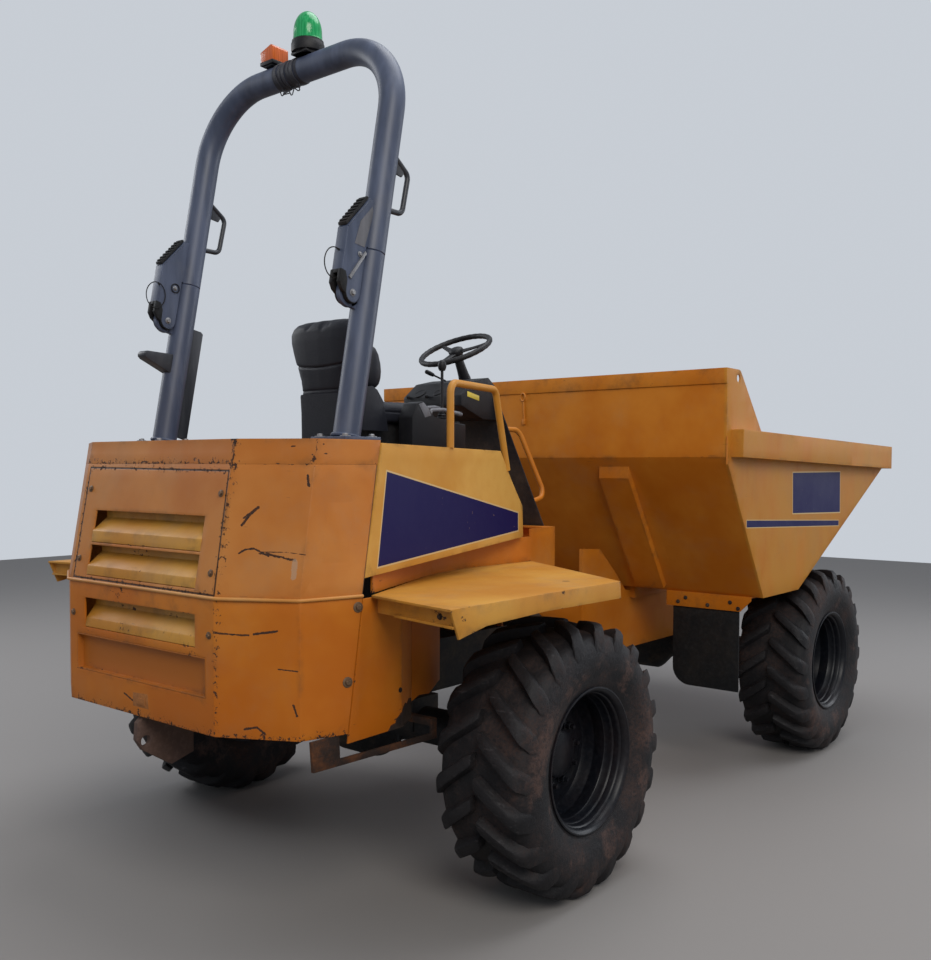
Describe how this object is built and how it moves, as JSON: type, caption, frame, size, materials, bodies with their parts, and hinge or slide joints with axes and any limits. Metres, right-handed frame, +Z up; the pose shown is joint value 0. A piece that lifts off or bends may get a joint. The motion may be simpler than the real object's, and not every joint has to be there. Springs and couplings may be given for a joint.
{
  "type": "articulated site dumper",
  "caption": "Articulated site dumper: forward tipping skip, open operator's seat under a folding roll bar, steering at a centre pivot.",
  "frame": {"origin": "on the ground under the middle of the overall length and width", "axes": "+X forward towards the skip's lip, +Y left, +Z up"},
  "size_m": [4.904, 2.447, 3.5199],
  "materials": {
    "yellow_paint": "worn gloss",
    "skip_paint": "worn gloss",
    "chassis_paint": "oily satin",
    "roll_bar_paint": "satin",
    "rim_paint": "satin",
    "tyre": "worn",
    "seat_vinyl": "grained",
    "black_plastic": "moulded",
    "ram_steel": "polished",
    "engine_iron": "cast",
    "rubber": "matte",
    "rusty_steel": "rusty",
    "green_lens": "gloss",
    "amber_lens": "gloss"
  },
  "bodies": {
    "rear_chassis": {"rear_frame": "chassis_paint", "engine": "engine_iron", "rear_axle_casing": "chassis_paint", "hitch": "rusty_steel", "step_bracket": "rusty_steel", "tail_lower": "yellow_paint", "tail_upper": "yellow_paint", "top_cap": "yellow_paint", "rear_grilles": "yellow_paint", "flank_panels": "yellow_paint", "side_panel_right": "yellow_paint", "side_panel_left": "yellow_paint", "body_tub": "yellow_paint", "fender_right": "yellow_paint", "fender_left": "yellow_paint", "seat_base": "chassis_paint", "seat_cushion": "seat_vinyl", "seat_back": "seat_vinyl", "lever_console": "black_plastic", "leg_shield": "chassis_paint", "dash_console": "black_plastic", "steering_column": "black_plastic", "grab_rail_right": "yellow_paint", "shield_rail": "skip_paint", "rops_lower": "roll_bar_paint"},
    "pivot_yoke": {"pivot_yoke": "chassis_paint"},
    "front_chassis": {"front_frame": "skip_paint", "front_axle_casing": "chassis_paint"},
    "skip": {"skip": "skip_paint", "skip_brackets": "skip_paint", "mud_flaps": "rubber"},
    "tip_barrels": {"tip_barrels": "chassis_paint"},
    "tip_rods": {"tip_rods": "ram_steel"},
    "steer_barrel": {"steer_barrel": "chassis_paint"},
    "steer_rod": {"steer_rod": "ram_steel"},
    "rops_hoop": {"rops_hoop": "roll_bar_paint", "rops_handles": "roll_bar_paint", "beacon": "green_lens", "side_lamp": "amber_lens"},
    "steering_wheel": {"steering_wheel": "black_plastic"},
    "wheel_rear_right": {"tyre_rear_right": "tyre", "rim_rear_right": "rim_paint"},
    "wheel_rear_left": {"tyre_rear_left": "tyre", "rim_rear_left": "rim_paint"},
    "wheel_front_right": {"tyre_front_right": "tyre", "rim_front_right": "rim_paint"},
    "wheel_front_left": {"tyre_front_left": "tyre", "rim_front_left": "rim_paint"}
  },
  "joints": [
    {"name": "centre_steer", "type": "hinge", "parent": "rear_chassis", "child": "pivot_yoke", "pos_m": [-0.148, 0, 0.75], "axis": [0, 0, 1], "range_deg": [-32, 32]},
    {"name": "chassis_rock", "type": "hinge", "parent": "pivot_yoke", "child": "front_chassis", "pos_m": [-0.048, 0, 0.75], "axis": [1, 0, 0], "range_deg": [-12, 12]},
    {"name": "skip_tip", "type": "hinge", "parent": "front_chassis", "child": "skip", "pos_m": [1.702, 0, 1.1], "axis": [0, 1, 0], "range_deg": [0, 60]},
    {"name": "tip_barrel_swing", "type": "hinge", "parent": "front_chassis", "child": "tip_barrels", "pos_m": [0.232, 0, 0.64], "axis": [0, 1, 0], "range_deg": [-28.97, 0]},
    {"name": "tip_rod_slide", "type": "slide", "parent": "tip_barrels", "child": "tip_rods", "axis": [0.9708, 0, 0.2398], "range_m": [0, 0.4101]},
    {"name": "steer_barrel_swing", "type": "hinge", "parent": "rear_chassis", "child": "steer_barrel", "pos_m": [-0.517, -0.23, 0.69], "axis": [0, 0, 1], "range_deg": [-8, 8]},
    {"name": "steer_rod_slide", "type": "slide", "parent": "steer_barrel", "child": "steer_rod", "axis": [1, 0, 0], "range_m": [-0.127, 0.127]},
    {"name": "rops_fold", "type": "hinge", "parent": "rear_chassis", "child": "rops_hoop", "pos_m": [-1.928, 0, 2.275], "axis": [0, -1, 0], "range_deg": [0, 125]},
    {"name": "steering_wheel_turn", "type": "hinge", "parent": "rear_chassis", "child": "steering_wheel", "pos_m": [-0.64, 0, 2.23], "axis": [-0.4695, 0, 0.8829], "continuous": true},
    {"name": "wheel_rear_right_roll", "type": "hinge", "parent": "rear_chassis", "child": "wheel_rear_right", "pos_m": [-1.248, -1.021, 0.5275], "axis": [0, 1, 0], "continuous": true},
    {"name": "wheel_rear_left_roll", "type": "hinge", "parent": "rear_chassis", "child": "wheel_rear_left", "pos_m": [-1.248, 1.021, 0.5275], "axis": [0, 1, 0], "continuous": true},
    {"name": "wheel_front_right_roll", "type": "hinge", "parent": "front_chassis", "child": "wheel_front_right", "pos_m": [1.355, -1.021, 0.5275], "axis": [0, 1, 0], "continuous": true},
    {"name": "wheel_front_left_roll", "type": "hinge", "parent": "front_chassis", "child": "wheel_front_left", "pos_m": [1.355, 1.021, 0.5275], "axis": [0, 1, 0], "continuous": true}
  ],
  "couplings": [
    {"joint": "tip_barrel_swing", "follows": "skip_tip", "ratio": -0.48109},
    {"joint": "tip_rod_slide", "follows": "skip_tip", "m_per_rad": 0.3907},
    {"joint": "steer_barrel_swing", "follows": "centre_steer", "ratio": 0.2379},
    {"joint": "steer_rod_slide", "follows": "centre_steer", "m_per_rad": 0.22476}
  ]
}
